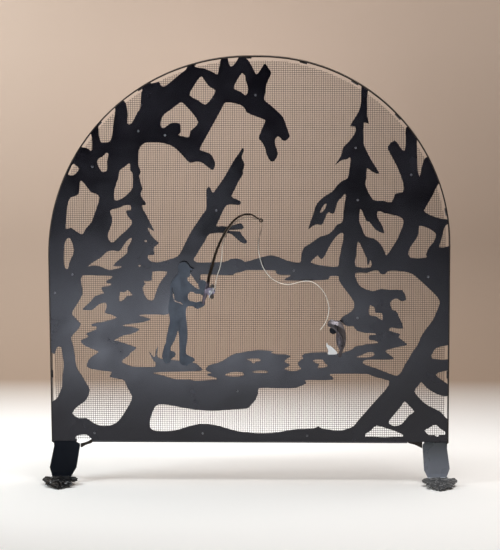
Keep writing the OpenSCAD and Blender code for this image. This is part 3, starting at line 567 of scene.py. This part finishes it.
def level_wire(k):
    """A level wire, half a wave away from the uprights that it passes."""
    z = CROSS_Z + k * PITCH_Z
    left, right = arch_sides(z, EDGE_GAP)
    left, right = left + snip(k, 7.7), right - snip(k, 9.2)
    first, last = math.ceil(left / PITCH_X), math.floor(right / PITCH_X)
    steps = np.arange(first * 2, last * 2 + 1)
    x = steps * PITCH_X / 2
    way = -1 if k % 2 else 1
    y = CENTRE_Y - way * SWING * np.array([wave(s) for s in steps])
    route = np.stack([x, y, np.full(len(x), z)], axis=1)
    route = np.vstack([[left, CENTRE_Y, z], route, [right, CENTRE_Y, z]])
    return route, np.array((0.0, 0.0, 1.0))


# %% Weave it in eight strips
UPRIGHTS = int((HALF_WIDTH - EDGE_GAP) / PITCH_X)
LEVELS = int((TOP - EDGE_GAP - 4 * MM - CROSS_Z) / PITCH_Z)
upright_list = list(range(-UPRIGHTS, UPRIGHTS + 1))
level_list = list(range(2, LEVELS + 1))
for part_no, group in enumerate(np.array_split(upright_list, 4)):
    routes = [upright_wire(int(i)) for i in group]
    wires_to_mesh(f"mesh_uprights_{part_no + 1}", routes)
for part_no, group in enumerate(np.array_split(level_list, 4)):
    routes = [level_wire(int(k)) for k in group]
    wires_to_mesh(f"mesh_levels_{part_no + 1}", routes)
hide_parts("spark_mesh")

# %% [markdown]
# ## Welds
# The sheet is tacked to the band from behind, where nobody looks, and each toe leaf
# is welded under the ankle of its strap. A weld bead is a row of overlapping little
# puddles, each laid half over the last one. Every puddle here is a flattened ball,
# pushed about by noise, and a row of them makes the bead.

# %% A weld bead from puddles
def ball(centre, radii, seed, rings=7, sides=12):
    """Corners and faces of a lumpy ball, as plain lists."""
    points, skin = [], []
    for i in range(rings + 1):
        down = math.pi * i / rings
        for k in range(sides):
            turn = 2 * math.pi * k / sides
            flat_r = math.sin(down)
            spot = Vector((flat_r * math.cos(turn), flat_r * math.sin(turn), math.cos(down)))
            lump = 1 + 0.12 * noise.noise(spot * 2.3 + Vector((seed, seed * 0.7, 0)))
            points.append(centre + Vector(spot[a] * radii[a] * lump for a in range(3)))
    for i in range(rings):
        for k in range(sides):
            n = (k + 1) % sides
            skin.append((i * sides + k, i * sides + n, (i + 1) * sides + n, (i + 1) * sides + k))
    return points, skin


def beads(name, runs, finish):
    """runs holds (start, end, puddle radii, count): each makes one row of puddles."""
    corners, faces = [], []
    for run_no, (start, end, radii, count) in enumerate(runs):
        for k in range(count):
            at = start.lerp(end, k / max(1, count - 1))
            points, skin = ball(at, radii, run_no * 3.1 + k)
            faces += [tuple(len(corners) + v for v in f) for f in skin]
            corners += points
    made = bpy.data.meshes.new(name)
    made.from_pydata(corners, [], faces)
    made.validate()
    made.polygons.foreach_set("use_smooth", [True] * len(made.polygons))
    made.materials.append(finish)
    piece = bpy.data.objects.new(name, made)
    bpy.context.scene.collection.objects.link(piece)
    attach(piece, "root")
    return piece


WELD = bare_metal(
    "weld bead",
    dark=(0.05, 0.048, 0.05),
    light=(0.13, 0.12, 0.12),
    rough=(0.35, 0.6),
    grain_scale=200.0,
    stretch=(1, 1, 1),
    depth=0.1 * MM,
)
print("bead helper ready")

# %% Tacks round the band
panel_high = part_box("scene_panel")[1]
TACK_INSET = 4.4 * MM
TACK_HALF = 7 * MM
TACK_PUDDLE = (2.0 * MM, 1.5 * MM, 2.0 * MM)
tack_y = panel_high.y + 0.6 * MM
tacks = []
for angle in range(-6, 187, 16):
    a = math.radians(angle)
    out = Vector((math.cos(a), 0, math.sin(a)))
    x = (HALF_WIDTH - TACK_INSET) * out.x
    z = arch_top(x, TACK_INSET) if 4 < angle < 176 else SIDE_TOP * 0.94
    spot = Vector((x, tack_y, z))
    along = Vector((-out.z, 0, out.x)) * TACK_HALF
    tacks.append((spot - along, spot + along, TACK_PUDDLE, 6))
for side in (-1, 1):
    for z in (160, 280, 400):
        spot = Vector((side * (HALF_WIDTH - TACK_INSET), tack_y, FOOT_GAP + z * MM))
        up = Vector((0, 0, TACK_HALF))
        tacks.append((spot - up, spot + up, TACK_PUDDLE, 6))
beads("band_tacks", tacks, WELD)
print("tacks:", len(tacks))

# %% Welds at the ankles and along the bottom bar
ankle_runs = []
for foot in ("left_leaf", "right_leaf"):
    low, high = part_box(foot)
    middle = (low.x + high.x) / 2
    ankle = Vector((middle, high.y + 1.2 * MM, high.z - 1.2 * MM))
    half = Vector((16 * MM, 0, 0))
    ankle_runs.append((ankle - half, ankle + half, (2.2 * MM, 1.6 * MM, 1.5 * MM), 12))
bar_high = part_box("bottom_bar")[1]
for x in (-300, -110, 90, 290):
    spot = Vector((x * MM, panel_high.y + 0.5 * MM, bar_high.z + 0.4 * MM))
    half = Vector((9 * MM, 0, 0))
    ankle_runs.append((spot - half, spot + half, (2.0 * MM, 1.2 * MM, 1.2 * MM), 7))
beads("ankle_welds", ankle_runs, WELD)
print("ankle and bar welds:", len(ankle_runs))

# %% [markdown]
# ## The studio
# The floor sweeps up into the wall in one smooth curve, so no corner line shows
# behind the screen. It is nearly white where the screen stands and warms to beige
# as it rises. The floor stops under four metres in front of the screen, because a
# satin sheet that stands upright mirrors the floor in front of it: near floor lights
# the foot of the screen, and the dark beyond it keeps the top black. The sweep is
# one-sided, so that the back of the screen can be seen through the wall.

# %% Floor and wall in one sweep
FLOOR_FRONT, COVE_START, COVE_R, WALL_TOP = -3.8, 0.3, 0.45, 2.6
SWEEP_HALF = 3.2
profile = [(FLOOR_FRONT, 0.0), (COVE_START, 0.0)]
profile += [
    (COVE_START + COVE_R * math.sin(a), COVE_R * (1 - math.cos(a)))
    for a in np.radians(np.arange(5, 91, 5))
]
profile.append((COVE_START + COVE_R, WALL_TOP))
sweep_points = [(x, y, z) for x in (-SWEEP_HALF, SWEEP_HALF) for y, z in profile]
count = len(profile)
sweep_faces = [(k, count + k, count + k + 1, k + 1) for k in range(count - 1)]
sweep_mesh = bpy.data.meshes.new("studio_sweep")
sweep_mesh.from_pydata(sweep_points, [], sweep_faces)
sweep_mesh.polygons.foreach_set("use_smooth", [True] * len(sweep_mesh.polygons))
sweep = bpy.data.objects.new("studio_sweep", sweep_mesh)
bpy.context.scene.collection.objects.link(sweep)
sweep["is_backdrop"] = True

paper, tree, shader = new_finish("studio paper")
place = node(tree, "ShaderNodeNewGeometry")
split = node(tree, "ShaderNodeSeparateXYZ", Vector=place.outputs["Position"])
PAPER_TOP = 0.95
PAPER_LOW_AT = 0.12
PAPER_FLOOR, PAPER_LOW, PAPER_HIGH = (0.96, 0.955, 0.94), (0.285, 0.208, 0.156), (0.40, 0.306, 0.243)
height = node(tree, "ShaderNodeMapRange", {"From Min": 0.0, "From Max": PAPER_TOP}, Value=split.outputs["Z"])
warm = node(tree, "ShaderNodeValToRGB", Fac=height.outputs["Result"])
paper_stops = warm.color_ramp.elements
paper_stops[0].color = (*PAPER_FLOOR, 1)
paper_stops[1].color = (*PAPER_HIGH, 1)
paper_stops.new(PAPER_LOW_AT).color = (*PAPER_LOW, 1)
tree.links.new(warm.outputs["Color"], shader.inputs["Base Color"])
shader.inputs["Roughness"].default_value = 0.95
shader.inputs["Specular IOR Level"].default_value = 0.1
see_through = node(tree, "ShaderNodeBsdfTransparent")
one_sided = node(tree, "ShaderNodeMixShader")
tree.links.new(place.outputs["Backfacing"], one_sided.inputs[0])
tree.links.new(shader.outputs[0], one_sided.inputs[1])
tree.links.new(see_through.outputs[0], one_sided.inputs[2])
tree.links.new(one_sided.outputs[0], tree.nodes["Material Output"].inputs["Surface"])
sweep_mesh.materials.append(paper)
print("sweep faces:", len(sweep_mesh.polygons))

# %% [markdown]
# Five soft lights do the rest. One hangs low over the floor in front, and its bright
# patch is what the left half of the sheet mirrors. One hangs overhead, one stands in
# for a window on the left, a weak one fills from the front, and one behind the screen
# brightens the wall, so that the mesh wires read dark against it.

# %% Soft lights
def soft_box(name, place, target, size, power, colour):
    """A square area light that faces its target."""
    data = bpy.data.lights.new(name, "AREA")
    data.size, data.energy, data.color = size, power, colour
    lamp = bpy.data.objects.new(name, data)
    lamp.location = place
    lamp.visible_camera = False
    lamp.rotation_euler = (Vector(target) - Vector(place)).to_track_quat("-Z", "Y").to_euler()
    bpy.context.scene.collection.objects.link(lamp)
    return lamp


WALL_Y = COVE_START + COVE_R
floor_patch = soft_box(
    "floor_patch", (-0.28, -1.9, 0.85), target=(-0.3, -1.9, 0.0), size=0.65, power=30, colour=(0.84, 0.9, 1.0)
)
floor_patch.data.spread = math.radians(100)
soft_box(
    "overhead", (0.6, -0.15, 2.8), target=(0.5, -0.15, 0.0), size=1.7, power=66, colour=(1.0, 0.985, 0.97)
)
left_window = soft_box(
    "left_window", (-1.7, -0.2, 1.4), target=(-0.9, WALL_Y, 0.8), size=1.0, power=19, colour=(0.9, 0.97, 1.0)
)
left_window.data.spread = math.radians(120)
soft_box(
    "front_key", (0.4, -2.6, 3.0), target=(0.1, 0.0, 0.3), size=1.2, power=4, colour=(1.0, 0.98, 0.96)
)
wall_glow = soft_box(
    "wall_glow", (-0.12, 0.22, 0.6), target=(-0.1, WALL_Y, 0.6), size=0.5, power=2.3, colour=(1.0, 0.96, 0.98)
)
wall_glow.data.shape = "RECTANGLE"
wall_glow.data.size_y = 0.8
world = bpy.data.worlds.new("studio air")
world.use_nodes = True
world.node_tree.nodes["Background"].inputs["Color"].default_value = (0.9, 0.94, 1.0, 1)
world.node_tree.nodes["Background"].inputs["Strength"].default_value = 0.035
bpy.context.scene.world = world

# %% [markdown]
# ## The camera
# A long lens stands five metres away, a little to the right and nine degrees above
# the middle of the screen, so the arch keeps its true shape. The camera is aimed at
# a point on the sheet and then turned by a hair round its own axis.

# %% Camera
DISTANCE, AZIMUTH, ELEVATION, ROLL = 5.231, 2.13, 9.31, -0.283
AIM = Vector((3 * MM, 0, FOOT_GAP + 391 * MM))
LENS_WIDTHS = 2300 / 550
a, e = math.radians(AZIMUTH), math.radians(ELEVATION)
toward = Vector((math.sin(a) * math.cos(e), -math.cos(a) * math.cos(e), math.sin(e)))
camera_data = bpy.data.cameras.new("camera")
camera_data.sensor_width = 36
camera_data.lens = 36 * LENS_WIDTHS
camera_data.clip_end = 50
camera = bpy.data.objects.new("camera", camera_data)
camera.location = AIM + toward * DISTANCE
camera.rotation_mode = "QUATERNION"
aimed = (-toward).to_track_quat("-Z", "Y")
camera.rotation_quaternion = aimed @ Quaternion((0, 0, 1), math.radians(ROLL))
bpy.context.scene.collection.objects.link(camera)
bpy.context.scene.camera = camera
bpy.context.scene.view_settings.view_transform = "Standard"
print("camera at", tuple(round(c, 3) for c in camera.location), "lens", round(camera_data.lens, 1))

# %% [markdown]
# ## Sizes, and the last line
# The box of everything that shows is printed, so that a piece that grew past its place
# would be noticed.

low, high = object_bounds()
print("visual box:", tuple(low), tuple(high))
